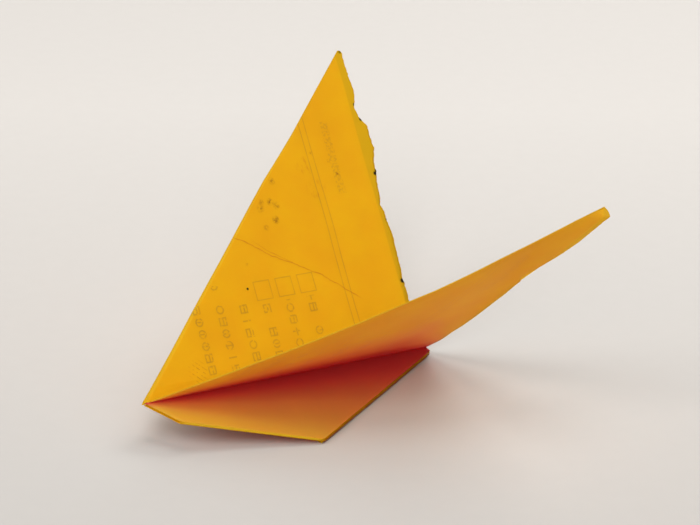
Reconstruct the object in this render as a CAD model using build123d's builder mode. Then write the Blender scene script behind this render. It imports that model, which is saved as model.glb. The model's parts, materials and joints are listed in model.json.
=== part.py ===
"""A folded paper airplane, standing on its own tail flap.

A square slip is folded over its diagonal, so every panel is two plies thick. It is folded
again along its middle, which makes the keel of two halves, and each half is turned out along
a root fold into a wing. The keel's tail corner is turned under, and lies flat as a foot.

Panels are drawn flat in planes hung from each other at the folds. Each fold is a thin rolled
bead of paper of its own, and the panels stop just short of it, so that every fold can turn.
Right and left are a pilot's, looking at the nose from the tail.
"""
import os
from math import cos, radians, sin, tan

from build123d import *

os.makedirs("parts", exist_ok=True)

# ---- Paper, millimetres ---------------------------------------------------------------
ply_thickness = 0.12
halves_gap = 0.20           # air between the two halves of the closed keel
hinge_clearance = 0.05      # from the top of the tail flap to the tail fold's axis
keel_clearance = 0.10       # from the tail fold's axis to the underside of the keel

# ---- The folded shape -------------------------------------------------------------------
root_length = 70.0          # root fold, from the nose to the tail
wing_nose_angle = 44.0      # between the root fold and a wing's leading edge
keel_corner_reach = 35.2    # from the nose to the keel's rear corner
keel_corner_bearing = 40.0  # direction of that corner, from the root fold
nose_edge_length = 8.4      # the blunt front of the keel, from the nose to the keel fold
nose_edge_angle = 72.0      # between the root fold and that blunt front
tail_edge_length = 1.7      # short rear edge, from the root fold to the tail fold
tail_flap_depth = 26.0      # how far the turned-under corner reaches in from the tail fold
flap_front_angle = 67.0     # the flap's front edge, from the tail fold
flap_back_angle = 62.0      # the flap's back edge, from the tail fold

# ---- How it stands, degrees -------------------------------------------------------------
tail_fold_heading = 64.0    # direction of the tail fold on the table, from +X towards +Y
keel_tilt = 12.7            # keel above the table, about the tail fold
right_wing_angle = 54.0     # from the keel up to the right wing, about the root fold
left_wing_angle = 135.0     # from the keel over to the left wing, about the root fold

# ---- Folds ------------------------------------------------------------------------------
keel_bead_radius = 0.28     # bead of a fold that turns four plies
root_bead_radius = 0.15     # bead of a fold that turns two plies
panel_inset = 0.45          # from a fold's axis to the edge of the keel and the tail flap
wing_inset = 0.75           # from a root fold's axis to the edge of its wing
bead_end_gap = 1.6          # beads stop short of the corners, where three folds meet
leading_fold_width = 0.60   # the closed fold along a wing's leading edge

# ---- Edges ------------------------------------------------------------------------------
# A torn edge is a list of (share of the span from the tip, how far it stands out).
left_tear = [(0.10, 0.1), (0.22, -1.0), (0.27, 1.2), (0.34, 1.5), (0.43, -0.4),
             (0.60, -1.0), (0.71, -0.7), (0.82, -1.4), (0.90, -1.2)]
right_tear = [(0.08, 0.6), (0.19, 1.3), (0.28, 0.3), (0.34, -1.0), (0.40, -2.2),
              (0.47, -0.7), (0.55, 0.1), (0.74, 0.2), (0.85, -0.2)]
flap_tear = [(0.25, 0.8), (0.45, -0.9), (0.70, 0.5), (0.88, -0.6)]
left_inner_setback = 1.6    # the inner ply's cut edge, ahead of the wing's nominal rear edge
right_inner_setback = 0.6
flap_ply_step = 0.8         # each ply of the tail flap ends this much before the one below
nose_tuck_width = 2.4       # how far the nose's blunt edge is turned under
rest_inset = 10.0           # the origin, in from the middle of the tail fold

# ---- Worked out -------------------------------------------------------------------------
wing_span = root_length * tan(radians(wing_nose_angle))
panel_thickness = 2 * ply_thickness
flap_thickness = 2 * panel_thickness

# Levels above the keel plane, which holds the tail fold's axis.
left_half_level = keel_clearance
right_half_level = left_half_level + panel_thickness + halves_gap
left_root_level = left_half_level + ply_thickness
right_root_level = right_half_level + ply_thickness
keel_fold_level = left_half_level + panel_thickness + halves_gap / 2

# The keel's corners, along the root fold from the nose and square down from it.
nose_corner = Vector(nose_edge_length, 0).rotate(Axis.Z, nose_edge_angle)
rear_corner = Vector(keel_corner_reach, 0).rotate(Axis.Z, keel_corner_bearing)
tail_corner = Vector(root_length, tail_edge_length)
tail_fold_length = (tail_corner - rear_corner).length
tail_fold_way = (tail_corner - rear_corner).normalized()


# ---- Planes -----------------------------------------------------------------------------
def turned(plane, angle):
    """A plane turned about its own +X, by the right-hand rule."""
    normal = plane.z_dir.rotate(Axis((0, 0, 0), plane.x_dir), angle)
    return Plane(origin=plane.origin, x_dir=plane.x_dir, z_dir=normal)


# Table plane: origin at the keel's rear corner, +X along the tail fold, +Y in under the keel.
fold_direction = Vector(1, 0, 0).rotate(Axis.Z, tail_fold_heading)
inward_direction = Vector(0, 1, 0).rotate(Axis.Z, tail_fold_heading)
keel_corner = fold_direction * (-tail_fold_length / 2) - inward_direction * rest_inset
table_plane = Plane(origin=keel_corner, x_dir=fold_direction, z_dir=(0, 0, 1))

# Keel plane: the same, lifted to the tail fold's axis and tilted about it.
hinge_height = flap_thickness + hinge_clearance
keel_plane = turned(table_plane.offset(hinge_height), keel_tilt)


def in_keel(corner):
    """A corner given from the root fold, as (along the tail fold, in from it)."""
    way = corner - rear_corner
    return Vector(way.dot(tail_fold_way), way.X * tail_fold_way.Y - way.Y * tail_fold_way.X)


def keel_point(corner, level):
    """A corner of the keel, raised to a level above the keel plane, in the row's frame."""
    place = in_keel(corner)
    return keel_plane.from_local_coords(Vector(place.X, place.Y, level))


nose = Vector(0, 0)
root_end = Vector(root_length, 0)


def root_plane(level, wing_angle):
    """Origin at the nose, +X along the root fold, +Y out to the wing's tip."""
    start = keel_point(nose, level)
    flat = Plane(origin=start, x_dir=keel_point(root_end, level) - start,
                 z_dir=keel_plane.z_dir * -1)
    return turned(flat, -wing_angle)


# ---- Pieces -----------------------------------------------------------------------------
def save(piece, name):
    piece.part.label = name
    export_step(piece.part, f"parts/{name}.step")


def panel(name, plane, level, outline, inset=0.0):
    """One ply: an outline in a plane, taken in by inset all round."""
    with BuildPart() as ply:
        with BuildSketch(plane.offset(level)):
            with BuildLine():
                Polyline(*outline, close=True)
            make_face()
            if inset:
                offset(amount=-inset, kind=Kind.INTERSECTION, mode=Mode.REPLACE)
        extrude(amount=ply_thickness)
    save(ply, name)


def bead(name, start, end, radius):
    """The rolled paper of one fold, a thin rod between two corners."""
    along = (end - start).normalized()
    with BuildPart() as rod:
        with BuildSketch(Plane(origin=start + along * bead_end_gap, z_dir=along)):
            Circle(radius)
        extrude(amount=(end - start).length - 2 * bead_end_gap)
    save(rod, name)


def leading_line(setback, y):
    """The point at height y on a line set back from the leading edge."""
    slope = radians(wing_nose_angle)
    along = (y + setback * cos(slope)) / sin(slope)
    return (along * cos(slope) + setback * sin(slope), y)


def wing(side, level, wing_angle, tear, inner_setback):
    """Two plies and the closed fold that joins them along the leading edge."""
    plane = root_plane(level, wing_angle)
    top = wing_span - leading_fold_width
    torn = [(root_length + out, wing_span * (1 - share)) for share, out in tear]
    outer = [leading_line(leading_fold_width, wing_inset), leading_line(leading_fold_width, top),
             *torn, (root_length, wing_inset)]
    cut = root_length - inner_setback
    inner_top = cut * tan(radians(wing_nose_angle)) - 2 * leading_fold_width
    inner = [leading_line(leading_fold_width, wing_inset),
             leading_line(leading_fold_width, inner_top), (cut, inner_top - inner_setback),
             (cut, wing_inset)]
    panel(f"wing_{side}_outer_ply", plane, 0, outer)
    panel(f"wing_{side}_inner_ply", plane, -ply_thickness, inner)
    fold = [leading_line(0, wing_inset), leading_line(0, wing_span),
            leading_line(leading_fold_width, top), leading_line(leading_fold_width, wing_inset)]
    with BuildPart() as edge:
        with BuildSketch(plane.offset(-ply_thickness)):
            with BuildLine():
                Polyline(*fold, close=True)
            make_face()
        extrude(amount=panel_thickness)
    save(edge, f"leading_fold_{side}")


def keel_half(side, level):
    """Two plies of the keel, a triangle between its three folds."""
    corners = [in_keel(corner) for corner in (rear_corner, tail_corner, root_end, nose,
                                              nose_corner)]
    outline = [(corner.X, corner.Y) for corner in corners]
    panel(f"keel_{side}_lower_ply", keel_plane, level, outline, panel_inset)
    panel(f"keel_{side}_upper_ply", keel_plane, level + ply_thickness, outline, panel_inset)


def tail_flap():
    """The turned-under corner: the keel's four plies, lying on the table."""
    for number in range(4):
        depth = tail_flap_depth - number * flap_ply_step
        front = depth / tan(radians(flap_front_angle))
        back = tail_fold_length - depth / tan(radians(flap_back_angle))
        torn = [(back + (front - back) * share, depth + out) for share, out in flap_tear]
        outline = [(0, 0), (tail_fold_length, 0), (back, depth), *torn, (front, depth)]
        panel(f"tail_flap_ply_{number + 1}", table_plane, number * ply_thickness, outline,
              panel_inset)


def nose_tuck():
    """The nose's blunt edge, turned under and pressed flat."""
    start = keel_point(nose, left_half_level)
    under = Plane(origin=start, x_dir=keel_point(nose_corner, left_half_level) - start,
                  z_dir=keel_plane.z_dir * -1)
    inside = nose_edge_length - panel_inset
    outline = [(2 * panel_inset, -panel_inset), (inside, -panel_inset),
               (inside - nose_tuck_width, -nose_tuck_width), (nose_tuck_width, -nose_tuck_width)]
    panel("nose_tuck", under, 0, outline)


tail_flap()
keel_half("left", left_half_level)
keel_half("right", right_half_level)
nose_tuck()
wing("left", left_root_level, left_wing_angle, left_tear, left_inner_setback)
wing("right", right_root_level, right_wing_angle, right_tear, right_inner_setback)

hinges = {
    "tail_fold": (rear_corner, tail_corner, 0, keel_bead_radius),
    "keel_fold": (nose_corner, rear_corner, keel_fold_level, keel_bead_radius),
    "root_fold_left": (nose, root_end, left_root_level, root_bead_radius),
    "root_fold_right": (nose, root_end, right_root_level, root_bead_radius),
}
for name, (first, last, level, radius) in hinges.items():
    start = keel_point(first, level)
    end = keel_point(last, level)
    bead(name, start, end, radius)
    print(f"{name}: from ({start.X:.3f}, {start.Y:.3f}, {start.Z:.3f}) mm"
          f" to ({end.X:.3f}, {end.Y:.3f}, {end.Z:.3f}) mm")
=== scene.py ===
# %% [markdown]
# # A paper airplane that stands on its own tail
# The real object is one square slip of thin yellow form paper. It is folded over its diagonal,
# so that each panel is two plies, and then into a keel and two wings. Its rear edges are torn.
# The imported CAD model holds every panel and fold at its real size. It is loaded first, and
# every sheet below is hung on its fold lines, so that nothing has to be fitted by eye.

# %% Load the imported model
import json
import math

import bpy
import numpy as np
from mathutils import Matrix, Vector, noise


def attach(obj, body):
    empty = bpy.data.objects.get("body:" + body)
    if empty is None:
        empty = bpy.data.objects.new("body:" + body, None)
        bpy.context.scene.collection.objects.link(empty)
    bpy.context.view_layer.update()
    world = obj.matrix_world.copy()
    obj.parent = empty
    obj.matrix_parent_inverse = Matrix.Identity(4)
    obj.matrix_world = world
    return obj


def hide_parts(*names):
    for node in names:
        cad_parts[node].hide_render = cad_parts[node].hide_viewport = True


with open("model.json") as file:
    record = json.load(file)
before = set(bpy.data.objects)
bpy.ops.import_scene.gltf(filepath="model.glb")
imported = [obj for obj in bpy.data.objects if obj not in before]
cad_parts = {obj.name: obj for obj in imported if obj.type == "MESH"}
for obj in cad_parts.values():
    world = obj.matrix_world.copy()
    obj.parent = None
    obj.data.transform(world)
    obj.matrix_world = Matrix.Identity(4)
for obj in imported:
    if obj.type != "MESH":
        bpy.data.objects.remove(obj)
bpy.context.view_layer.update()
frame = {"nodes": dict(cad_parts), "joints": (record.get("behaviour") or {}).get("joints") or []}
hinges = {joint["name"]: joint for joint in frame["joints"]}
MM = 0.001

# %% [markdown]
# ## Camera
# A long lens from a little above the table keeps the wings in nearly parallel view, as when a
# small thing on a table is seen from arm's length. The camera is made first, before any piece.

# %% Camera
CAMERA_PLACE = Vector((0.01452, -0.46669, 0.21615))
CAMERA_TURN = -1.407          # degrees from +Y towards +X
CAMERA_DOWN = 21.945          # degrees below level
CAMERA_LENS = 128.57          # millimetres, on a sensor 36 mm wide
camera_data = bpy.data.cameras.new("camera")
camera_data.sensor_width = 36.0
camera_data.lens = CAMERA_LENS
camera = bpy.data.objects.new("camera", camera_data)
camera.location = CAMERA_PLACE
camera.rotation_euler = (math.radians(90 - CAMERA_DOWN), 0, math.radians(-CAMERA_TURN))
bpy.context.scene.collection.objects.link(camera)
bpy.context.scene.camera = camera
print("camera", [round(v, 3) for v in CAMERA_PLACE])

# %% [markdown]
# ## Where each panel lies
# A panel is drawn flat, in millimetres: x runs along its fold from the nose, y runs away from
# the fold, and z stands up from the paper. A small class turns such a place into the model's
# own frame. The fold's line comes from the joint, and the panel's tilt from its CAD piece.

# %% Panel frames
ROOT_LENGTH = 70.0            # root fold, nose to tail
WING_SLOPE = math.radians(44.0)
WING_SPAN = ROOT_LENGTH * math.tan(WING_SLOPE)
TAIL_EDGE = 1.7               # short rear edge between the root fold and the tail fold


class Panel:
    """Places drawn flat on one panel, turned into the model's frame."""

    def __init__(self, start, along, out, up, bend=None):
        self.start = Vector(start)
        self.along = along.normalized()
        self.out = out.normalized()
        self.up = up.normalized()
        self.bend = bend or (lambda x, y: 0.0)

    def place(self, x, y, z=0.0):
        height = z + self.bend(x, y)
        return self.start + (self.along * x + self.out * y + self.up * height) * MM

    def flat(self, point):
        way = (Vector(point) - self.start) / MM
        return way.dot(self.along), way.dot(self.out)


def fold_line(name):
    joint = hinges[name]
    return Vector(joint["pos_m"]), Vector(joint["axis"]).normalized()


def wing_panel(side, bend):
    start, along = fold_line(f"root_fold_{side}_hinge")
    edge = frame["nodes"][f"leading_fold_{side}"].data.vertices

    def away(vertex):
        way = vertex.co - start
        return way - along * way.dot(along)

    out = away(max(edge, key=lambda vertex: away(vertex).length))
    return Panel(start, along, out, along.cross(out), bend)


def keel_panel(side):
    start, along = fold_line(f"root_fold_{side}_hinge")
    keel_start, keel_way = fold_line("keel_fold_hinge")
    up = along.cross(keel_way)
    if up.z < 0:
        up.negate()
    out = up.cross(along)
    if out.dot(keel_start - start) < 0:
        out.negate()
    return Panel(start, along, out, up)


ROOT_START = 0.05             # the first row of paper, out from the fold's axis
LEAN = 0.22                   # how far the left wing's root leans back
LEAN_END = 3.0                # where that lean has died away, out from the root fold


def left_bend(x, y):
    """A little wave, and a lean at the root that clears the right half's crease when it closes."""
    wave = noise.noise(Vector((x / 22, y / 26, 3.1)))
    rise = min(1.0, max(0.0, y - ROOT_START) / 0.3)
    fall = max(0.0, min(1.0, (LEAN_END - y) / 2.2))
    return 0.45 * wave * min(1.0, y / 12) - LEAN * rise * fall


# How far the right wing bellies out, by the distance from the root fold.
BELLY_FRONT = [(0, 0.0), (12, 1.0), (30, 1.7), (42, 1.75), (49, 1.25), (56, 0.6), (63, -0.3),
               (68, -0.7)]
BELLY_REAR = [(0, 0.0), (6, 0.7), (14, 1.05), (30, 1.2), (48, 1.25), (62, 1.2), (68, 1.1)]


def right_bend(x, y):
    """The right wing bellies out below, and its tip is twisted a little."""
    lead = y / math.tan(WING_SLOPE)
    share = min(1.0, max(0.0, (x - lead) / max(1.6, ROOT_LENGTH - lead)))
    front = float(np.interp(y, *zip(*BELLY_FRONT)))
    rear = float(np.interp(y, *zip(*BELLY_REAR)))
    wave = 0.25 * noise.noise(Vector((x / 19, y / 15, 8.4)))
    return front + (rear - front) * share + wave * min(1.0, y / 10)


left_wing = wing_panel("left", left_bend)
right_wing = wing_panel("right", right_bend)
keel = {side: keel_panel(side) for side in ("left", "right")}
table_start, table_way = fold_line("tail_fold_hinge")
table_panel = Panel((table_start.x, table_start.y, 0), table_way,
                    Vector((0, 0, 1)).cross(table_way), Vector((0, 0, 1)))
print("left wing faces", [round(v, 2) for v in left_wing.up])

# %% [markdown]
# ## One ply of paper as a mesh
# A ply is a thin closed sheet. It is made in rows that run along the fold: each row goes from
# a front edge to a rear edge, and the rear edge may be torn. The front and back skins are the
# same rows, half a thickness apart, and a strip of faces closes them all round. The UV map
# holds the flat place in millimetres, so print and stains stay on the paper as it bends.

# %% Sheet builder
PLY = 0.09                    # thickness of one ply, millimetres


def link(name, vertices, faces, material, flat_places=None):
    mesh = bpy.data.meshes.new(name)
    mesh.from_pydata([tuple(v) for v in vertices], [], faces)
    mesh.materials.append(material)
    if flat_places is not None:
        layer = mesh.uv_layers.new(name="flat_mm")
        for loop in mesh.loops:
            layer.data[loop.index].uv = flat_places[loop.vertex_index]
    mesh.shade_smooth()
    mesh.update()
    piece = bpy.data.objects.new(name, mesh)
    bpy.context.scene.collection.objects.link(piece)
    return piece


def closed_grid(rows, columns):
    """Faces of two skins of rows + 1 by columns + 1 points, and of the strip round their rim."""
    width = columns + 1
    count = width * (rows + 1)
    faces = []
    for r in range(rows):
        for c in range(columns):
            a = r * width + c
            quad = (a, a + 1, a + width + 1, a + width)
            faces.append(quad)
            faces.append(tuple(v + count for v in reversed(quad)))
    rim = list(range(width))
    rim += [r * width + columns for r in range(1, rows + 1)]
    rim += [rows * width + c for c in range(columns - 1, -1, -1)]
    rim += [r * width for r in range(rows - 1, 0, -1)]
    for here, there in zip(rim, rim[1:] + rim[:1]):
        faces.append((there, here, here + count, there + count))
    return faces


def closed_tube(rings, sides):
    """Faces between rings of points, one ring after another, and the two ends."""
    faces = []
    for r in range(rings - 1):
        for c in range(sides):
            a, b = r * sides + c, r * sides + (c + 1) % sides
            faces.append((a, b, b + sides, a + sides))
    faces.append(tuple(range(sides - 1, -1, -1)))
    faces.append(tuple(range((rings - 1) * sides, rings * sides)))
    return faces


def paper_sheet(name, panel, rows, front, rear, columns, level, material):
    """rows are y values; front(y) and rear(y) are the x where each row starts and ends."""
    grid = []
    for y in rows:
        start, end = front(y), rear(y)
        grid.append([(start + (end - start) * c / columns, y) for c in range(columns + 1)])
    vertices, flat_places = [], []
    for skin in (level + PLY / 2, level - PLY / 2):
        for line in grid:
            vertices += [panel.place(x, y, skin) for x, y in line]
            flat_places += line
    faces = closed_grid(len(rows) - 1, columns)
    if panel.along.cross(panel.out).dot(panel.up) < 0:
        faces = [tuple(reversed(face)) for face in faces]
    return link(name, vertices, faces, material, flat_places)


def spaced(low, high, step):
    """Values from low to high, about step apart."""
    count = max(2, int(round((high - low) / step)))
    return [low + (high - low) * i / count for i in range(count + 1)]


# %% [markdown]
# ## A torn edge
# Thin paper tears in long shallow steps with fine teeth on them. The long steps are the ones
# the CAD outline has. The teeth are layered noise: the same place always gives the same tooth.

# %% Torn edges
# A tear is a list of (share of the span from the tip, how far the edge stands out).
LEFT_TEAR = [(0.0, 0.2), (0.10, 0.4), (0.15, 0.6), (0.20, -0.5), (0.23, 0.0), (0.26, 1.6),
             (0.34, 1.75), (0.40, 0.6), (0.46, -0.1), (0.50, -0.2), (0.52, -0.9), (0.56, -0.3),
             (0.63, 0.15), (0.72, -0.1), (0.77, -0.5), (0.85, -0.4), (1.0, 0.0)]
RIGHT_TEAR = [(0.0, 0.3), (0.08, 0.6), (0.19, 1.2), (0.28, 0.3), (0.34, -0.8), (0.40, -2.0),
              (0.43, -2.0), (0.46, -0.5), (0.55, 0.1), (0.74, 0.2), (0.85, -0.2), (1.0, 0.0)]
FLAP_TEAR = [(0.0, 0.0), (0.25, 0.8), (0.45, -0.9), (0.70, 0.5), (0.88, -0.6), (1.0, 0.0)]


def teeth(place, seed, size):
    """Fine ragged steps, a few tenths of a millimetre high."""
    slow = noise.noise(Vector((place / 1.9, seed, 0.5)))
    quick = noise.noise(Vector((place / 0.7, seed, 7.5)))
    fine = noise.noise(Vector((place / 0.3, seed, 3.5)))
    return size * (0.9 * slow + 0.7 * quick + 0.45 * fine)


def torn(tear, seed, size):
    """A wing's rear edge: x for each y, from a tear and its fine teeth."""
    shares = [share for share, out in tear]
    outs = [out for share, out in tear]

    def edge(y):
        share = 1 - y / WING_SPAN
        return ROOT_LENGTH + float(np.interp(share, shares, outs)) + teeth(y, seed, size)

    return edge


def leading(outs):
    """A wing's leading edge, standing out by a little that changes with y."""

    def edge(y):
        out = float(np.interp(y, *zip(*outs)))
        return max(-1.2, y / math.tan(WING_SLOPE) - out / math.sin(WING_SLOPE))

    return edge


def blunt_tip(front, rear, begin, end):
    """The rear edge drawn in to the leading edge in a round end, from begin to end."""
    width = rear(begin) - front(begin)
    least = 0.08

    def rounded(y):
        if y <= begin:
            return rear(y)
        share = min(1.0, (y - begin) / (end - begin))
        return front(y) + least + width * (1 - share) ** 0.6

    return front, rounded


# How far each leading edge stands out, by the distance from the root fold.
LEFT_OUT = [(0, 0.95), (30, 0.85), (41, 0.8), (46, 0.45), (50, 0.22), (60, 0.2), (68, 0.1)]
RIGHT_OUT = [(0, 0.3), (20, 0.1), (68, 0.0)]
TIP_START = {"left": 66.3, "right": 64.4}
TIP_END = {"left": 67.3, "right": 67.1}
wing_edges = {
    "left": blunt_tip(leading(LEFT_OUT), torn(LEFT_TEAR, 11.0, 0.22),
                      TIP_START["left"], TIP_END["left"]),
    "right": blunt_tip(leading(RIGHT_OUT), torn(RIGHT_TEAR, 23.0, 0.10),
                       TIP_START["right"], TIP_END["right"]),
}
print("left rear edge at mid span:", round(wing_edges["left"][1](34.0), 2), "mm")

# %% [markdown]
# ## Paper, print and stains
# The paper is thin enough for light to come through, so its shader mixes a Principled surface
# with a Translucent one. Its yellow is a little uneven, as a dye is, and a fine grain stands
# up as bump. The print is faint, because it is seen through the paper from the other side. It
# is only plain boxes, rules and rows of small marks that spell nothing. Everything reads the
# UV map in millimetres, so a box 3.9 wide is 3.9 mm wide on the wing.

# %% Node helpers
class Nodes:
    """A short way to write sums in a material's node tree."""

    def __init__(self, material):
        self.tree = material.node_tree
        self.tree.nodes.clear()
        layer = self.tree.nodes.new("ShaderNodeUVMap")
        layer.uv_map = "flat_mm"
        split = self.tree.nodes.new("ShaderNodeSeparateXYZ")
        self.tree.links.new(layer.outputs["UV"], split.inputs[0])
        self.uv = layer.outputs["UV"]
        self.x = split.outputs["X"]
        self.y = split.outputs["Y"]

    def put(self, socket, value):
        """Joins a socket to another one, or gives it a plain value."""
        if isinstance(value, bpy.types.NodeSocket):
            self.tree.links.new(value, socket)
        else:
            socket.default_value = value

    def math(self, operation, *values):
        node = self.tree.nodes.new("ShaderNodeMath")
        node.operation = operation
        for socket, value in zip(node.inputs, values):
            self.put(socket, value)
        return node.outputs[0]

    def band(self, value, middle, half, soft=0.05):
        """1 within half of middle, 0 outside, with a soft rim."""
        away = self.math("ABSOLUTE", self.math("SUBTRACT", value, middle))
        return self.ramp(away, half + soft, half - soft)

    def ramp(self, value, low, high, to_low=0.0, to_high=1.0):
        """Maps low to high onto to_low to to_high, and holds the ends."""
        node = self.tree.nodes.new("ShaderNodeMapRange")
        for socket, amount in zip(node.inputs, (value, low, high, to_low, to_high)):
            self.put(socket, amount)
        return node.outputs[0]

    def noise(self, scale, detail=3.0, rough=0.5, stretch=(1, 1, 1), shift=(0, 0, 0)):
        mapping = self.tree.nodes.new("ShaderNodeMapping")
        mapping.inputs["Location"].default_value = shift
        mapping.inputs["Scale"].default_value = stretch
        self.tree.links.new(self.uv, mapping.inputs["Vector"])
        node = self.tree.nodes.new("ShaderNodeTexNoise")
        self.tree.links.new(mapping.outputs[0], node.inputs["Vector"])
        node.inputs["Scale"].default_value = scale
        node.inputs["Detail"].default_value = detail
        node.inputs["Roughness"].default_value = rough
        return node.outputs["Fac"]

    def tint(self, factor, under, over, blend="MIX"):
        node = self.tree.nodes.new("ShaderNodeMix")
        node.data_type = "RGBA"
        node.blend_type = blend
        self.put(node.inputs[0], factor)
        self.put(node.inputs[6], under)
        self.put(node.inputs[7], over)
        return node.outputs[2]

    def curve(self, value, points, span):
        """Straight runs through points, for a value from 0 to span."""
        node = self.tree.nodes.new("ShaderNodeFloatCurve")
        line = node.mapping.curves[0]
        for place, height in points[1:-1]:
            line.points.new(place / span, height / span)
        line.points[0].location = (0.0, points[0][1] / span)
        line.points[len(line.points) - 1].location = (1.0, points[-1][1] / span)
        for point in line.points:
            point.handle_type = "VECTOR"
        node.mapping.update()
        self.put(node.inputs["Value"], self.math("DIVIDE", value, span))
        return self.math("MULTIPLY", node.outputs[0], span)

    def shades(self, value, stops):
        """A colour for each value, blended between stops."""
        node = self.tree.nodes.new("ShaderNodeValToRGB")
        ramp = node.color_ramp
        while len(ramp.elements) < len(stops):
            ramp.elements.new(0.5)
        for element, (place, colour) in zip(ramp.elements, stops):
            element.position = place
        for element, (place, colour) in zip(ramp.elements, stops):
            element.color = (*colour, 1.0)
        self.put(node.inputs[0], value)
        return node.outputs[0]

    def cell(self, value, size):
        """Which cell of a row a value falls in, and how far it is from the cell's middle."""
        steps = self.math("DIVIDE", value, size)
        number = self.math("FLOOR", steps)
        away = self.math("SUBTRACT", self.math("SUBTRACT", steps, number), 0.5)
        return number, self.math("MULTIPLY", away, size)

    def chance(self, first, second, seed):
        """The same random value for the same pair of cell numbers."""
        join = self.tree.nodes.new("ShaderNodeCombineXYZ")
        for socket, value in zip(join.inputs, (first, second, seed)):
            self.put(socket, value)
        node = self.tree.nodes.new("ShaderNodeTexWhiteNoise")
        self.tree.links.new(join.outputs[0], node.inputs["Vector"])
        return node.outputs["Value"]

    def spot(self, x, y, radius, soft=0.4):
        """1 inside a round spot."""
        across = self.math("POWER", self.math("SUBTRACT", self.x, x), 2.0)
        along = self.math("POWER", self.math("SUBTRACT", self.y, y), 2.0)
        away = self.math("SQRT", self.math("ADD", across, along))
        return self.ramp(away, radius * (1 + soft), radius * (1 - soft))


PAPER_YELLOW = (0.97, 0.77, 0.014, 1.0)
PAPER_DEEP = (0.95, 0.70, 0.014, 1.0)
THROUGH_TINT = (1.0, 0.97, 0.6, 1.0)
PRINT_GREY = (0.50, 0.33, 0.05, 1.0)
# Brown for the left wing's real stains, and for the painted shade along rolled edges and creases.
STAIN_AND_SHADE_BROWN = (0.36, 0.10, 0.012, 1.0)
# Reddish brown for the painted shade lines of the left wing's crease, and for its real smear.
CREASE_BROWN = (0.62, 0.20, 0.015, 1.0)
SPECK_BLACK = (0.03, 0.015, 0.006, 1.0)
GRAIN_TONE = (0.86, 0.50, 0.02, 1.0)
ONE_PLY_TONE = (0.86, 0.62, 0.014, 1.0)
# The blue boost below and the fold ramps further down paint the shade inside the fold between the
# keel and the right wing.
FOLD_SHADE_BLUE = (1.0, 1.0, 8.0, 1.0)


ROW_PITCH = 5.6               # from one row of marks to the next, along the root fold
MARK_PITCH = 2.5              # from one mark to the next in its row
BOX_PITCH = 5.5
BOX_PHASE = 250 * BOX_PITCH - 33.7 + BOX_PITCH / 2
# How far each row of marks reaches from the root fold, as (x, y).
ROW_TOPS = [(0, 4), (12, 12), (16, 16.5), (22, 21), (27, 20), (32, 15.6), (70, 15.6)]


def marks(n):
    """Rows of small strokes and rings in cells, as print looks when it cannot be read."""
    column, across = n.cell(n.math("ADD", n.x, 2.9), ROW_PITCH)
    row, along = n.cell(n.math("ADD", n.y, n.math("MULTIPLY", column, 0.7)), MARK_PITCH)
    far = n.math("MAXIMUM", n.math("ABSOLUTE", across), n.math("ABSOLUTE", along))
    round_far = n.math("SQRT", n.math("ADD", n.math("POWER", across, 2.0),
                                      n.math("POWER", along, 2.0)))
    ring = n.band(round_far, 0.78, 0.13, 0.12)
    frame_mark = n.band(far, 0.78, 0.12, 0.12)
    inside = n.ramp(far, 1.02, 0.92)
    stroke = n.math("MULTIPLY", n.band(along, 0.0, 0.13, 0.12), inside)
    cross = n.math("MULTIPLY", n.band(across, 0.1, 0.13, 0.12), inside)
    pick = n.chance(column, row, 3.0)
    first = n.math("MULTIPLY", ring, n.math("LESS_THAN", pick, 0.45))
    second = n.math("MULTIPLY", frame_mark, n.math("GREATER_THAN", pick, 0.62))
    third = n.math("MULTIPLY", stroke, n.band(pick, 0.40, 0.22, 0.001))
    fourth = n.math("MULTIPLY", cross, n.band(pick, 0.72, 0.20, 0.001))
    shape = n.math("MAXIMUM", n.math("MAXIMUM", first, second), n.math("MAXIMUM", third, fourth))
    broken = n.ramp(n.noise(1.5, 1.0, 0.4), 0.36, 0.46)
    shape = n.math("MULTIPLY", shape, broken)
    shape = n.math("MULTIPLY", shape, n.math("GREATER_THAN", n.chance(column, row, 8.0), 0.12))
    top = n.curve(n.x, ROW_TOPS, ROOT_LENGTH)
    shape = n.math("MULTIPLY", shape, n.ramp(n.y, n.math("ADD", top, 0.1), top))
    return n.math("MULTIPLY", shape, n.band(n.x, 31.0, 18.0))


def printed_form(n, colour, strength):
    """Tick boxes, rules and rows of marks, as a darker tint of the paper."""
    cell = n.math("MODULO", n.math("ADD", n.x, BOX_PHASE), BOX_PITCH)
    away_x = n.math("ABSOLUTE", n.math("SUBTRACT", cell, BOX_PITCH / 2))
    away_y = n.math("ABSOLUTE", n.math("SUBTRACT", n.y, 18.4))
    box_edge = n.band(n.math("MAXIMUM", away_x, away_y), 1.95, 0.07, 0.09)
    boxes = n.math("MULTIPLY", box_edge, n.band(n.x, 39.0, 8.0))
    wander = n.math("MULTIPLY", n.math("SUBTRACT", n.noise(0.05, 1.0), 0.5), 1.2)
    rule_x = n.math("ADD", n.x, wander)
    rules = n.math("MAXIMUM", n.band(rule_x, 53.8, 0.08, 0.1), n.band(rule_x, 55.3, 0.08, 0.1))
    rules = n.math("MULTIPLY", rules, n.band(n.y, 30.0, 25.0))
    block = n.math("MULTIPLY", n.band(n.x, 60.3, 1.0), n.band(n.y, 44.0, 8.0))
    block = n.math("MULTIPLY", block, n.ramp(n.noise(1.8, 1.0, 0.4), 0.45, 0.6, 0.0, 0.5))
    ink = n.math("MAXIMUM", n.math("MAXIMUM", boxes, marks(n)), n.math("MAXIMUM", rules, block))
    worn = n.ramp(n.noise(0.35, 4.0, 0.6), 0.3, 0.7, 0.5, 1.0)
    return n.tint(n.math("MULTIPLY", n.math("MULTIPLY", ink, worn), strength), colour, PRINT_GREY)


# The crease that wanders over the left wing, as (x, y). The mesh has no crease there; its dark
# lines are painted shade.
CREASE_LINE = [(0, 48), (30, 30.3), (34, 28.1), (38, 25.2), (43.5, 22.5), (48.5, 19.8),
               (54, 15.7), (57, 13.5), (70, 4)]
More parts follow.
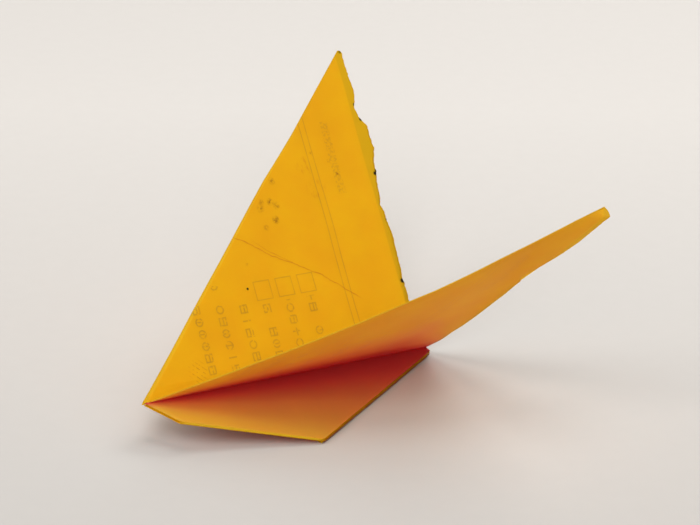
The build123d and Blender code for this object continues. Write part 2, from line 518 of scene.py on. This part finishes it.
# Where each stain or speck sits, its radius, and how strongly it shows.
SMUDGES = [(39.3, 36.7, 0.45, 0.5), (41.5, 36.5, 0.5, 0.7), (42.8, 35.5, 0.5, 0.6),
           (38.7, 35.4, 0.6, 0.5), (41.7, 32.5, 0.55, 0.9), (38.8, 31.2, 0.45, 0.4),
           (43.3, 40.8, 0.5, 0.6), (60.3, 40.3, 0.35, 0.7), (59.0, 43.4, 0.3, 0.5),
           (55.0, 45.5, 0.3, 0.5), (31.6, 24.2, 0.25, 0.4)]
SPECKS = [(30.1, 19.2, 0.24, 1.0), (69.8, 54.9, 0.35, 0.8), (70.5, 51.6, 0.45, 1.0),
          (71.0, 39.8, 0.62, 1.0), (70.2, 39.3, 0.40, 1.0), (69.9, 66.9, 0.35, 0.5),
          (69.3, 15.3, 0.50, 1.0), (69.8, 29.0, 0.30, 0.8)]


def left_wing_wear(n, colour):
    """The marks that only the left wing carries: smudges, specks, and the painted shade lines of a
    wandering crease.
    """
    # Painted shade: two dark lines along a crease that the mesh does not have.
    wander = n.math("MULTIPLY", n.math("SUBTRACT", n.noise(0.5, 3.0), 0.5), 0.9)
    height = n.math("ADD", n.math("SUBTRACT", n.y, n.curve(n.x, CREASE_LINE, ROOT_LENGTH)), wander)
    crease = n.math("MULTIPLY", n.band(height, 0.0, 0.06, 0.12), n.band(n.x, 43.5, 13.5, 1.0))
    beside = n.math("SUBTRACT", height, n.ramp(n.x, 34.0, 42.0, 1.2, 0.3))
    second = n.math("MULTIPLY", n.band(beside, 0.0, 0.04, 0.1), n.band(n.x, 38.5, 3.5, 1.0))
    crease = n.math("MAXIMUM", crease, n.math("MULTIPLY", second, 0.8))
    fade = n.ramp(n.noise(0.4, 2.0), 0.35, 0.6, 0.45, 0.9)
    colour = n.tint(n.math("MULTIPLY", crease, fade), colour, CREASE_BROWN)
    rough = n.ramp(n.noise(1.6, 4.0, 0.7, shift=(5.0, 2.0, 0)), 0.42, 0.58)
    for x, y, radius, strength in SMUDGES:
        stain = n.math("MULTIPLY", n.spot(x, y, radius, 0.9), rough)
        colour = n.tint(n.math("MULTIPLY", stain, strength), colour, STAIN_AND_SHADE_BROWN)
    smear = n.math("MAXIMUM", n.spot(53.8, 37.5, 1.6, 0.9), n.spot(52.5, 43.0, 1.3, 0.9))
    streaks = n.noise(0.7, 3.0, 0.6, stretch=(1.6, 0.5, 1))
    smear = n.math("MULTIPLY", smear, n.ramp(streaks, 0.5, 0.65))
    colour = n.tint(n.math("MULTIPLY", smear, 0.45), colour, CREASE_BROWN)
    slant = n.math("ADD", n.math("MULTIPLY", n.x, 0.9), n.y)
    strokes = n.band(n.math("MODULO", n.math("ADD", slant, 100.0), 1.1), 0.55, 0.07, 0.1)
    strokes = n.math("MULTIPLY", strokes, n.spot(13.4, 4.3, 1.9, 0.5))
    broken = n.ramp(n.noise(1.4, 2.0, shift=(9.0, 0, 0)), 0.45, 0.55)
    colour = n.tint(n.math("MULTIPLY", n.math("MULTIPLY", strokes, broken), 0.6),
                    colour, STAIN_AND_SHADE_BROWN)
    for x, y, radius, strength in SPECKS:
        colour = n.tint(n.math("MULTIPLY", n.spot(x, y, radius, 0.35), strength),
                        colour, SPECK_BLACK)
    return colour


# Painted shade inside the fold between the keel and the right wing: what the paper's colour is
# multiplied by there, deepest and reddest at the root fold, by the slope away from the nose.
FOLD_SHADE_KEEL = [(0.0, (0.95, 0.14, 1.0)), (0.08, (0.96, 0.18, 1.0)), (0.13, (0.98, 0.24, 1.0)),
             (0.20, (0.98, 0.39, 1.0)), (0.30, (0.99, 0.56, 1.0)), (0.45, (0.99, 0.68, 0.9)),
             (0.70, (1.0, 0.88, 0.8)), (1.0, (1.0, 0.95, 0.6))]
FOLD_SHADE_WING = [(0.0, (0.82, 0.20, 2.0)), (0.05, (0.82, 0.28, 2.0)), (0.13, (0.92, 0.57, 2.0)),
             (0.25, (1.0, 0.88, 2.0)), (0.40, (1.0, 1.0, 1.2)), (1.0, (1.0, 1.0, 0.4))]


def paper(name, print_strength=0.0, worn=False, through=0.68, fold=None, edge_shade=0.0,
          single=None):
    """Thin dyed form paper. through is the share of light that passes to the other side.

    worn adds the left wing's own marks, fold a painted shade that is deepest near the root fold,
    the argument after it a painted brown shade along rolled edges, and single the x past which the
    wing is one ply thick.
    """
    material = bpy.data.materials.new(name)
    material.use_nodes = True
    n = Nodes(material)
    cloudy = n.ramp(n.noise(0.09, 3.0, 0.55, shift=(2.0, 7.0, 0)), 0.3, 0.7)
    colour = n.tint(cloudy, PAPER_YELLOW, PAPER_DEEP)
    streaks = n.ramp(n.noise(0.9, 4.0, 0.6, stretch=(0.35, 1.0, 1.0)), 0.35, 0.68, 0.0, 0.30)
    colour = n.tint(streaks, colour, PAPER_DEEP)
    grain = n.noise(5.0, 3.0, 0.7)
    colour = n.tint(n.ramp(grain, 0.45, 0.75, 0.0, 0.22), colour, GRAIN_TONE)
    if single:
        colour = n.tint(n.ramp(n.x, single - 0.2, single + 0.2), colour, ONE_PLY_TONE)
    if print_strength:
        colour = printed_form(n, colour, print_strength)
    if worn:
        colour = left_wing_wear(n, colour)
    # Painted shade: a mottled brown darkening of the paper along rolled edges and creases.
    if edge_shade:
        edge_shade_mottle = n.ramp(n.noise(0.7, 4.0, 0.6, shift=(1.0, 8.0, 0)), 0.3, 0.6, 0.8, 1.0)
        colour = n.tint(n.math("MULTIPLY", edge_shade_mottle, edge_shade), colour, STAIN_AND_SHADE_BROWN)
    # Painted shade: darkens and reddens the paper inside the fold, most at the root fold and
    # towards the tail.
    if fold:
        tail = n.math("MULTIPLY", n.math("SUBTRACT", ROOT_LENGTH + 6.0, n.x), 3.5)
        reach = n.math("MAXIMUM", n.math("MINIMUM", n.math("ADD", n.x, 2.0), tail), 3.0)
        slope = n.math("DIVIDE", n.y, reach)
        colour = n.tint(1.0, colour, FOLD_SHADE_BLUE, "MULTIPLY")
        colour = n.tint(1.0, colour, n.shades(slope, fold), "MULTIPLY")
    surface = n.tree.nodes.new("ShaderNodeBsdfPrincipled")
    n.put(surface.inputs["Base Color"], colour)
    surface.inputs["Roughness"].default_value = 0.62
    surface.inputs["Specular IOR Level"].default_value = 0.30
    bump = n.tree.nodes.new("ShaderNodeBump")
    bump.inputs["Strength"].default_value = 0.22
    bump.inputs["Distance"].default_value = 0.00006
    n.put(bump.inputs["Height"], n.math("ADD", n.noise(3.2, 5.0, 0.65),
                                        n.noise(0.45, 2.0, 0.5, shift=(4.0, 4.0, 0))))
    n.put(surface.inputs["Normal"], bump.outputs[0])
    behind = n.tree.nodes.new("ShaderNodeBsdfTranslucent")
    n.put(behind.inputs["Color"], n.tint(1.0, colour, THROUGH_TINT, "MULTIPLY"))
    mixed = n.tree.nodes.new("ShaderNodeMixShader")
    mixed.inputs[0].default_value = through
    n.put(mixed.inputs[1], surface.outputs[0])
    n.put(mixed.inputs[2], behind.outputs[0])
    output = n.tree.nodes.new("ShaderNodeOutputMaterial")
    n.put(output.inputs["Surface"], mixed.outputs[0])
    return material


left_face_paper = paper("left_face_paper", 0.6, worn=True, single=68.4)
plain_paper = paper("plain_paper")
# The right wing's underside carries the painted fold shade.
right_under_fold_shade_paper = paper("right_under_fold_shade_paper", 0.15, fold=FOLD_SHADE_WING, single=69.4)
keel_paper = paper("keel_paper", through=0.88)
# The keel's upper right ply carries the painted fold shade.
keel_top_fold_shade_paper = paper("keel_top_fold_shade_paper", fold=FOLD_SHADE_KEEL)
# Leading edges and the keel crease: paper with a little painted brown shade.
rim_shade_paper = paper("rim_shade_paper", through=0.5, edge_shade=0.3)
# Root and tail creases: paper darkened nearly to brown by painted shade.
creased_paper = paper("creased_paper", through=0.3, edge_shade=0.97)
print("materials:", [m.name for m in bpy.data.materials])

# %% [markdown]
# ## Wings
# Each wing is two plies, joined by the closed fold along the leading edge. The ply on the
# face with the long tear reaches past the other, so one ply alone shows along the rear edge.
# Three pieces are made: the torn ply, the straight-cut ply and the fold, a half-round strip.

# %% Wings
PLY_LEVEL = 0.065             # middle of a ply, either side of the wing's middle plane
WING_START = {"left": 0.14, "right": ROOT_START}
CUT_SETBACK = {"left": 1.6, "right": 0.6}


def wing_ply(side, ply, panel, material, rear, node):
    sign = 1 if ply == "outer" else -1
    end = TIP_END[side]
    rows = spaced(WING_START[side], end - 1.0, 0.24) + spaced(end - 0.9, end, 0.1)
    piece = paper_sheet(f"wing_{side}_{ply}_sheet", panel, rows, wing_edges[side][0], rear, 44,
                        sign * PLY_LEVEL, material)
    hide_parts(node)
    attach(piece, f"wing_{side}")


def cut_edge(side):
    """A straight cut, ahead of the nominal rear edge, that stays behind the leading edge."""
    cut = ROOT_LENGTH - CUT_SETBACK[side]
    front = wing_edges[side][0]
    return lambda y: max(cut + teeth(y, 31.0, 0.05), front(y) + 0.05)


def leading_fold(side, panel):
    """A half-round strip that closes the two plies along the leading edge."""
    steps = spaced(ROOT_START + 0.5, TIP_END[side] - 0.1, 0.4)
    radius = PLY_LEVEL + PLY / 2
    angles = [math.radians(a) for a in (90, 55, 20, -20, -55, -90)]
    front = wing_edges[side][0]
    vertices, flat_places = [], []
    for y in steps:
        for angle in angles:
            out = radius * math.cos(angle)
            x = front(y) + 0.04 - out * math.sin(WING_SLOPE)
            high = y + out * math.cos(WING_SLOPE)
            vertices.append(panel.place(x, high, radius * math.sin(angle)))
            flat_places.append((x + radius * angle, high))
    faces = closed_tube(len(steps), len(angles))
    # The strip's paper carries a little painted brown shade.
    piece = link(f"leading_edge_{side}", vertices, faces, rim_shade_paper, flat_places)
    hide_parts(f"leading_fold_{side}")
    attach(piece, f"wing_{side}")


# The right wing's visible underside ply gets the paper with the painted fold shade.
for side, panel, face in (("left", left_wing, left_face_paper),
                          ("right", right_wing, right_under_fold_shade_paper)):
    wing_ply(side, "outer", panel, face, wing_edges[side][1], f"wing_{side}_outer_ply")
    wing_ply(side, "inner", panel, plain_paper, cut_edge(side), f"wing_{side}_inner_ply")
    leading_fold(side, panel)
print("wings made")

# %% [markdown]
# ## Keel
# The keel is the wedge below the wings, two plies for each half. Its front is blunt where the
# nose was pressed flat, and its rear corner is turned under along the tail fold. Each ply is
# drawn in rows like a wing's, between the nose side and the tail side.

# %% Keel
NOSE_OUT = 0.8                # the pressed nose stands out ahead of the root fold


def keel_edges(panel):
    """The keel's nose side and tail side, as x for each y, and how deep it is."""
    blunt = panel.flat(fold_line("keel_fold_hinge")[0])
    corner = panel.flat(table_start)
    front_x, front_y = [-NOSE_OUT, blunt[0], corner[0]], [0.0, blunt[1], corner[1]]
    rear_x, rear_y = [ROOT_LENGTH, ROOT_LENGTH, corner[0]], [0.0, TAIL_EDGE, corner[1]]
    return (lambda y: float(np.interp(y, front_y, front_x)) + 0.04,
            lambda y: float(np.interp(y, rear_y, rear_x)) - 0.04, corner[1])


for side in ("left", "right"):
    panel = keel[side]
    front, rear, depth = keel_edges(panel)
    for ply, sign in (("lower", -1), ("upper", 1)):
        rows = spaced(ROOT_START, depth - 0.12, 0.4)
        # The right half's upper ply lies under the right wing and gets the paper with the painted
        # fold shade.
        seen = side == "right" and ply == "upper"
        piece = paper_sheet(f"keel_{side}_{ply}_sheet", panel, rows, front, rear, 60,
                            sign * PLY_LEVEL, keel_top_fold_shade_paper if seen else keel_paper)
        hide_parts(f"keel_{side}_{ply}_ply")
        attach(piece, f"keel_{side}")
print("keel depth", round(depth, 1), "mm")

# %% [markdown]
# ## Creases
# A fold in thin paper is a tight roll, not a sharp line. Each is a thin tube along its fold
# that narrows at both ends, where it runs into the next fold. The roll is uneven, so its rings
# are set one by one, each with a slightly different radius.

# %% Creases
ROOT_CREASE = 0.11            # radius of each roll of paper
KEEL_CREASE = 0.24
TAIL_CREASE = 0.16


# Each roll's paper is darkened brown by painted shade along its fold, unless another paper is
# given.
def crease(name, start, end, radius, body, node, material=creased_paper):
    """The uneven roll of paper along one fold."""
    start, end = Vector(start), Vector(end)
    along = (end - start).normalized()
    side_way = along.orthogonal().normalized()
    other = along.cross(side_way)
    rings = max(12, int((end - start).length / MM / 0.7))
    vertices, flat_places = [], []
    sides = 10
    for i in range(rings + 1):
        share = i / rings
        middle = start.lerp(end, share)
        ends = min(1.0, 0.35 + 12 * min(share, 1 - share))
        uneven = 1 + 0.16 * noise.noise(middle * 900)
        for s in range(sides):
            angle = 2 * math.pi * s / sides
            away = side_way * math.cos(angle) + other * math.sin(angle)
            vertices.append(middle + away * radius * ends * uneven * MM)
            flat_places.append(((end - start).length / MM * share, radius * angle))
    faces = closed_tube(rings + 1, sides)
    piece = link(name, vertices, faces, material, flat_places)
    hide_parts(node)
    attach(piece, body)


for side in ("left", "right"):
    panel = keel[side]
    crease(f"root_crease_{side}", panel.place(-NOSE_OUT, 0), panel.place(ROOT_LENGTH - 0.2, 0),
           ROOT_CREASE, f"keel_{side}", f"root_fold_{side}")
blunt_corner = fold_line("keel_fold_hinge")[0]
middle_level = (keel["left"].place(0, 0) + keel["right"].place(0, 0)) / 2
rear_corner = keel["left"].place(*keel["left"].flat(table_start))
rear_corner += middle_level - keel["left"].place(0, 0)
crease("keel_crease", blunt_corner, rear_corner, KEEL_CREASE, "keel_left", "keel_fold",
       rim_shade_paper)
tail_corner = keel["left"].place(ROOT_LENGTH, TAIL_EDGE)
crease("tail_crease", table_start, (tail_corner.x, tail_corner.y, table_start.z), TAIL_CREASE,
       "tail_flap", "tail_fold")

# %% [markdown]
# ## Tail flap and nose tuck
# The keel's tail corner is turned under and lies flat on the table, four plies thick. It is
# the foot that the airplane stands on. At the nose a narrow strip is pressed under the keel.

# %% Tail flap and nose tuck
FLAP_DEPTH = 26.0
FLAP_FRONT = math.tan(math.radians(67.0))
FLAP_BACK = math.tan(math.radians(62.0))
FLAP_START = 0.5              # the first row, in from the tail fold
FLAP_STEP = 0.8               # each ply ends this much before the one below
FLAP_LEVEL = 0.12             # from the middle of one ply to the next
FLAP_ROWS = 34
FLAP_COLUMNS = 90
fold_length = ((tail_corner - table_start) / MM).dot(table_panel.along)


def flap_ply(number):
    """One ply of the tail flap, in rows from the tail fold to the torn edge."""
    depth = FLAP_DEPTH - FLAP_STEP * number
    shares = [share for share, out in FLAP_TEAR]
    outs = [out for share, out in FLAP_TEAR]

    def reach(share):
        return depth + float(np.interp(share, shares, outs)) + teeth(share * 30, number, 0.2)

    vertices, flat_places = [], []
    for skin in (1, -1):
        for r in range(FLAP_ROWS + 1):
            for c in range(FLAP_COLUMNS + 1):
                share = c / FLAP_COLUMNS
                y = FLAP_START + (reach(1 - share) - FLAP_START) * r / FLAP_ROWS
                low = y / FLAP_FRONT
                high = fold_length - y / FLAP_BACK
                x = low + (high - low) * share
                z = FLAP_LEVEL * (number + 0.5) + skin * PLY / 2
                vertices.append(table_panel.place(x, y, z))
                flat_places.append((x, y))
    faces = closed_grid(FLAP_ROWS, FLAP_COLUMNS)
    piece = link(f"tail_flap_sheet_{number + 1}", vertices, faces, plain_paper, flat_places)
    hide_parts(f"tail_flap_ply_{number + 1}")
    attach(piece, "tail_flap")


for number in range(4):
    flap_ply(number)

tuck_way = blunt_corner - keel["left"].start
tuck_up = keel["left"].up
tuck_in = tuck_way.cross(tuck_up)
tuck_panel = Panel(keel["left"].start - tuck_up * 0.18 * MM, tuck_way, tuck_in, tuck_up)
tuck_length = tuck_way.length / MM
if tuck_panel.out.dot(keel["left"].along) < 0:
    tuck_panel.out.negate()
tuck = paper_sheet("nose_tuck_sheet", tuck_panel, spaced(0.1, 2.4, 0.2),
                   lambda y: 0.6 + y * 0.8, lambda y: tuck_length - 0.3 - y * 0.8, 24, 0.0,
                   keel_paper)
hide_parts("nose_tuck")
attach(tuck, "keel_left")

# %% [markdown]
# ## Fibres along the torn edges
# Torn paper shows its fibres: short hairs that stand out of the break. Hundreds of them are
# needed, each a little different, so a Geometry Nodes tree sets one small cone on each point
# of the torn edge, turns it at random about the way out, and makes real mesh of the lot.

# %% Fibre tree
FIBRE_LENGTH = 0.0003         # metres
FIBRE_RADIUS = 0.00002


def fibre_tree(material):
    """Small cones set along a line of points, as a node group."""
    tree = bpy.data.node_groups.new("torn_fibres", "GeometryNodeTree")
    face = tree.interface
    face.new_socket("Geometry", in_out="INPUT", socket_type="NodeSocketGeometry")
    for name, value in (("Fibre length", FIBRE_LENGTH), ("Fibre radius", FIBRE_RADIUS)):
        face.new_socket(name, in_out="INPUT", socket_type="NodeSocketFloat").default_value = value
    face.new_socket("Count", in_out="INPUT", socket_type="NodeSocketInt").default_value = 300
    face.new_socket("Way out", in_out="INPUT", socket_type="NodeSocketVector")
    face.new_socket("Geometry", in_out="OUTPUT", socket_type="NodeSocketGeometry")
    new, join = tree.nodes.new, tree.links.new
    start, end = new("NodeGroupInput"), new("NodeGroupOutput")
    curve = new("GeometryNodeMeshToCurve")
    points = new("GeometryNodeCurveToPoints")
    points.mode = "COUNT"
    cone = new("GeometryNodeMeshCone")
    cone.inputs["Vertices"].default_value = 4
    cone.inputs["Radius Top"].default_value = 0.000004
    aim = new("FunctionNodeAlignEulerToVector")
    aim.axis = "Z"
    jitter = new("FunctionNodeRandomValue")
    jitter.data_type = "FLOAT_VECTOR"
    jitter.inputs["Min"].default_value = (-0.9, -0.9, 0.0)
    jitter.inputs["Max"].default_value = (0.9, 0.9, 3.0)
    jitter.inputs["Seed"].default_value = 5
    turn = new("FunctionNodeRotateEuler")
    turn.space = "LOCAL"
    size = new("FunctionNodeRandomValue")
    size.inputs[2].default_value = 0.25
    size.inputs[3].default_value = 1.1
    size.inputs["Seed"].default_value = 9
    instance = new("GeometryNodeInstanceOnPoints")
    realize = new("GeometryNodeRealizeInstances")
    finish = new("GeometryNodeSetMaterial")
    finish.inputs["Material"].default_value = material
    join(start.outputs["Geometry"], curve.inputs["Mesh"])
    join(curve.outputs[0], points.inputs["Curve"])
    join(start.outputs["Count"], points.inputs["Count"])
    join(start.outputs["Fibre length"], cone.inputs["Depth"])
    join(start.outputs["Fibre radius"], cone.inputs["Radius Bottom"])
    join(start.outputs["Way out"], aim.inputs["Vector"])
    join(aim.outputs[0], turn.inputs[0])
    join(jitter.outputs[0], turn.inputs[1])
    join(points.outputs["Points"], instance.inputs["Points"])
    join(cone.outputs["Mesh"], instance.inputs["Instance"])
    join(turn.outputs[0], instance.inputs["Rotation"])
    join(size.outputs[1], instance.inputs["Scale"])
    join(instance.outputs[0], realize.inputs[0])
    join(realize.outputs[0], finish.inputs[0])
    join(finish.outputs[0], end.inputs[0])
    return tree


def socket_of(tree, name):
    """The identifier that a modifier uses for one of the tree's inputs."""
    return next(s.identifier for s in tree.interface.items_tree
                if s.name == name and s.in_out == "INPUT")


def bake_tree(name, edge_points, tree, values, body):
    """Runs a tree on a line of points and keeps its result as a plain mesh."""
    line = bpy.data.meshes.new(name + "_line")
    edges = [(i, i + 1) for i in range(len(edge_points) - 1)]
    line.from_pydata([tuple(p) for p in edge_points], edges, [])
    holder = bpy.data.objects.new(name + "_line", line)
    bpy.context.scene.collection.objects.link(holder)
    modifier = holder.modifiers.new("tree", "NODES")
    modifier.node_group = tree
    for key, value in values.items():
        modifier[socket_of(tree, key)] = value
    bpy.context.view_layer.update()
    evaluated = holder.evaluated_get(bpy.context.evaluated_depsgraph_get())
    mesh = bpy.data.meshes.new_from_object(evaluated)
    mesh.name = name
    bpy.data.objects.remove(holder)
    piece = bpy.data.objects.new(name, mesh)
    bpy.context.scene.collection.objects.link(piece)
    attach(piece, body)
    print(name, len(mesh.polygons), "faces")
    return piece


fibre_material = bpy.data.materials.new("torn_fibre")
fibre_material.use_nodes = True
fibre_shader = fibre_material.node_tree.nodes["Principled BSDF"]
fibre_shader.inputs["Base Color"].default_value = (0.93, 0.60, 0.10, 1.0)
fibre_shader.inputs["Roughness"].default_value = 0.8
fibres = fibre_tree(fibre_material)
for side, panel, count in (("left", left_wing, 260), ("right", right_wing, 160)):
    rear = wing_edges[side][1]
    edge_points = [panel.place(rear(y) - 0.05, y, PLY_LEVEL)
                   for y in spaced(0.6, WING_SPAN - 2.0, 0.3)]
    bake_tree(f"torn_fibres_{side}", edge_points, fibres,
              {"Count": count, "Way out": tuple(panel.along), "Fibre length": FIBRE_LENGTH},
              f"wing_{side}")

# %% [markdown]
# ## Table and light
# The airplane stands on a plain pale table, made paler towards the back by a painted fall-off of
# light, in the soft light
# of a room: three wide lights in front, one overhead, and two behind that shine through the paper
# and warm its shadows.

# %% Table and light
TABLE_HALF = 3.0
TABLE_PALE = (0.67, 0.65, 0.627, 1.0)
TABLE_SHADE = (0.65, 0.63, 0.608, 1.0)
# Painted light fall-off on the table: from front to back, and the tone at each.
TABLE_LIGHT_FALLOFF = (-0.12, 0.18, 0.70, 1.0)    # from front to back, and the tone at each


def table_material():
    """A plain matt top, made paler towards the back by a painted fall-off of light."""
    material = bpy.data.materials.new("table_top")
    material.use_nodes = True
    nodes, links = material.node_tree.nodes, material.node_tree.links
    shader = nodes["Principled BSDF"]
    shader.inputs["Roughness"].default_value = 0.75
    shader.inputs["Specular IOR Level"].default_value = 0.2
    place = nodes.new("ShaderNodeTexCoord")
    split = nodes.new("ShaderNodeSeparateXYZ")
    links.new(place.outputs["Object"], split.inputs[0])
    # Painted light: the top's colour darkens towards the front.
    depth = nodes.new("ShaderNodeMapRange")
    links.new(split.outputs["Y"], depth.inputs[0])
    for socket, amount in zip(depth.inputs[1:], TABLE_LIGHT_FALLOFF):
        socket.default_value = amount
    shade = nodes.new("ShaderNodeMix")
    shade.data_type = "RGBA"
    shade.blend_type = "MULTIPLY"
    shade.inputs[0].default_value = 1.0
    links.new(depth.outputs[0], shade.inputs[7])
    speckle = nodes.new("ShaderNodeTexNoise")
    speckle.inputs["Scale"].default_value = 260.0
    speckle.inputs["Detail"].default_value = 4.0
    mix = nodes.new("ShaderNodeMix")
    mix.data_type = "RGBA"
    mix.inputs[6].default_value = TABLE_PALE
    mix.inputs[7].default_value = TABLE_SHADE
    links.new(place.outputs["Object"], speckle.inputs["Vector"])
    links.new(speckle.outputs["Fac"], mix.inputs[0])
    links.new(mix.outputs[2], shade.inputs[6])
    links.new(shade.outputs[2], shader.inputs["Base Color"])
    return material


table_mesh = bpy.data.meshes.new("table_top")
corners = [(x * TABLE_HALF, y * TABLE_HALF, 0) for x, y in ((-1, -1), (1, -1), (1, 1), (-1, 1))]
table_mesh.from_pydata(corners, [], [(0, 1, 2, 3)])
table_mesh.materials.append(table_material())
table_top = bpy.data.objects.new("table_top", table_mesh)
bpy.context.scene.collection.objects.link(table_top)


LAMP_DISTANCE = 2.0
LAMP_SIZE = 1.1
LAMP_AIM = Vector((0, 0.01, 0.02))
WARM = (1.0, 0.975, 0.945)


def soft_light(name, bearing, height, power):
    """A round lamp. bearing is degrees from +Y to +X, height is degrees above level."""
    turn, rise = math.radians(bearing), math.radians(height)
    way = Vector((math.cos(rise) * math.sin(turn), math.cos(rise) * math.cos(turn),
                  math.sin(rise)))
    data = bpy.data.lights.new(name, "AREA")
    data.shape = "DISK"
    data.size = LAMP_SIZE
    data.energy = power
    data.color = WARM
    lamp = bpy.data.objects.new(name, data)
    lamp.location = LAMP_DISTANCE * way + LAMP_AIM
    lamp.rotation_euler = (-way).to_track_quat("-Z", "Y").to_euler()
    bpy.context.scene.collection.objects.link(lamp)


for lamp_name, bearing, height, power in (("front_low", 180, 28, 15.0),
                                          ("front_high", 180, 48, 17.0),
                                          ("left_front", 238, 40, 12.0),
                                          ("overhead", 90, 85, 13.5),
                                          ("right_behind", 45, 52, 14.5),
                                          ("behind_low", 10, 28, 7.5)):
    soft_light(lamp_name, bearing, height, power)
world = bpy.data.worlds.new("surround")
bpy.context.scene.world = world
world.use_nodes = True
surround = world.node_tree.nodes["Background"]
surround.inputs["Color"].default_value = (1.0, 0.98, 0.965, 1.0)
surround.inputs["Strength"].default_value = 0.04
bpy.context.scene.view_settings.view_transform = "Standard"
